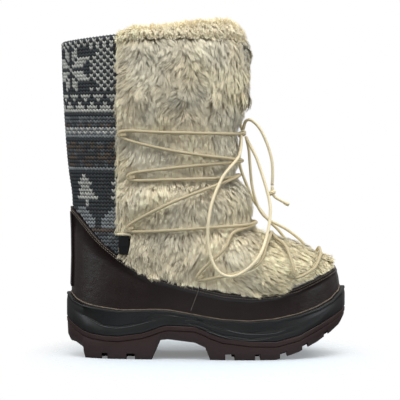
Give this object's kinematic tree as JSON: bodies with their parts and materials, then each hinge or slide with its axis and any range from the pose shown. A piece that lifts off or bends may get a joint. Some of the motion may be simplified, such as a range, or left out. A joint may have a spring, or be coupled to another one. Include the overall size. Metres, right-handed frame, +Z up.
{
  "type": "fur boot",
  "caption": "Right winter boot with a deep fur front, knitted back, dark leather rand, cup midsole and lugged sole, laced over the fur with a hanging bow.",
  "frame": {"origin": "on the floor under the middle of the heel", "axes": "+X to the toe, +Y to the inner side of the foot, +Z up the shaft"},
  "size_m": [0.2943, 0.1331, 0.3468],
  "materials": {
    "rubber_brown": "matt",
    "rubber_charcoal": "matt",
    "knit_wool": "knitted wool",
    "leather_dark": "satin",
    "fur_cream": "long fur",
    "lace_cord": "round woven cord",
    "felt_grey": "felt",
    "tab_black": "woven tape"
  },
  "bodies": {
    "root": {"outsole": "rubber_brown", "midsole": "rubber_charcoal", "insole": "felt_grey", "upper": "knit_wool", "leather_rand": "leather_dark", "back_stay": "leather_dark", "fur_front": "fur_cream", "fur_collar": "fur_cream", "side_tab": "tab_black", "lace_loop_outer_1": "lace_cord", "lace_loop_outer_2": "lace_cord", "lace_loop_outer_3": "lace_cord", "lace_loop_outer_4": "lace_cord", "lace_loop_outer_5": "lace_cord", "lace_loop_inner_1": "lace_cord", "lace_loop_inner_2": "lace_cord", "lace_loop_inner_3": "lace_cord", "lace_loop_inner_4": "lace_cord", "lace_loop_inner_5": "lace_cord", "lace_crossings": "lace_cord", "lace_knot": "lace_cord", "lace_bow_outer": "lace_cord", "lace_bow_inner": "lace_cord", "lace_end_outer": "lace_cord", "lace_end_inner": "lace_cord"}
  },
  "joints": []
}
